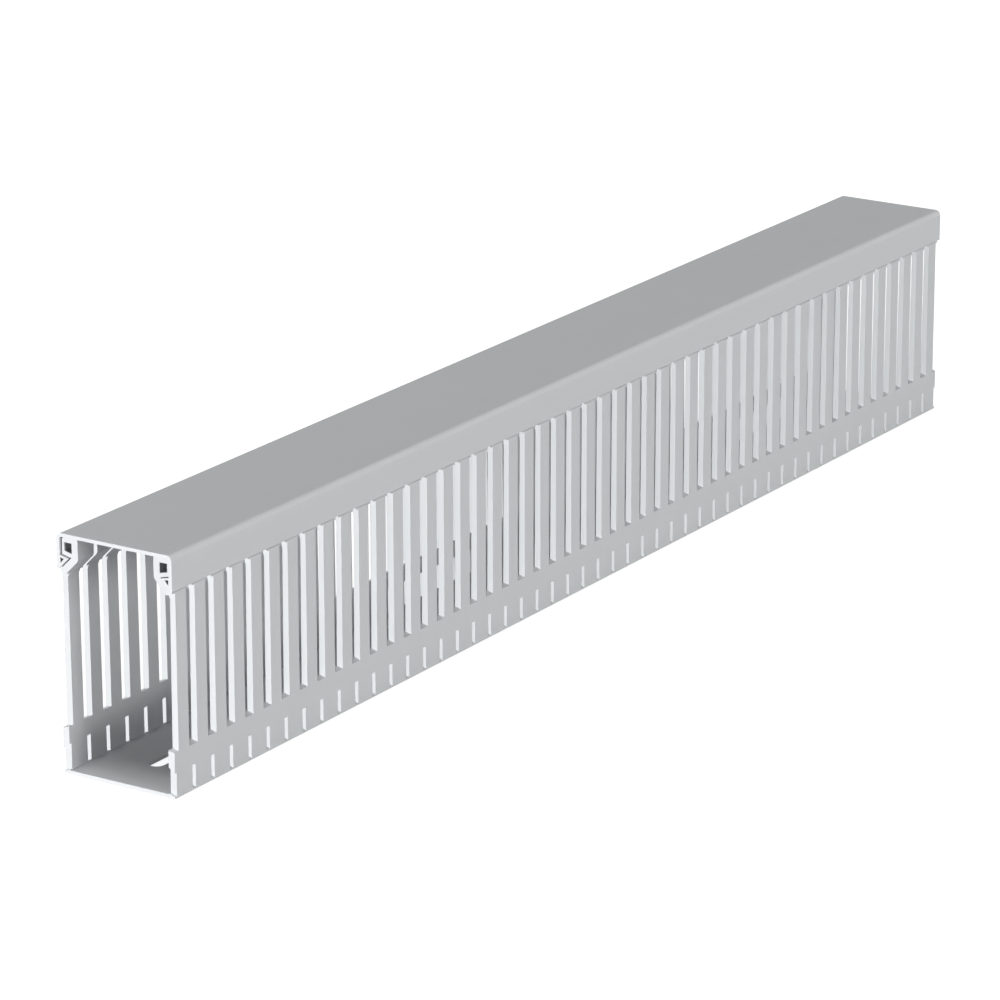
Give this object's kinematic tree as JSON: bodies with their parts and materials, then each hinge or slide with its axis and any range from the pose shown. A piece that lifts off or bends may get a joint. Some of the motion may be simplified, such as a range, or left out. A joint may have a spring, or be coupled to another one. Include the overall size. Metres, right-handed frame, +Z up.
{
  "type": "slotted wire duct",
  "caption": "Straight slotted wiring duct in grey plastic: a U-shaped channel with free-standing side fingers and a clip-on cover.",
  "frame": {"origin": "middle of the duct's underside", "axes": "X along the duct, Y across it, Z up from the fixing face to the cover"},
  "size_m": [0.5, 0.0446, 0.08],
  "materials": {
    "duct_plastic": "matte light grey rigid PVC",
    "cover_plastic": "matte light grey rigid PVC"
  },
  "bodies": {
    "base": {"duct_base": "duct_plastic"},
    "cover": {"duct_cover": "cover_plastic"}
  },
  "joints": [
    {"name": "cover_slide", "type": "slide", "parent": "base", "child": "cover", "axis": [1, 0, 0], "range_m": [-0.48, 0.48]}
  ]
}
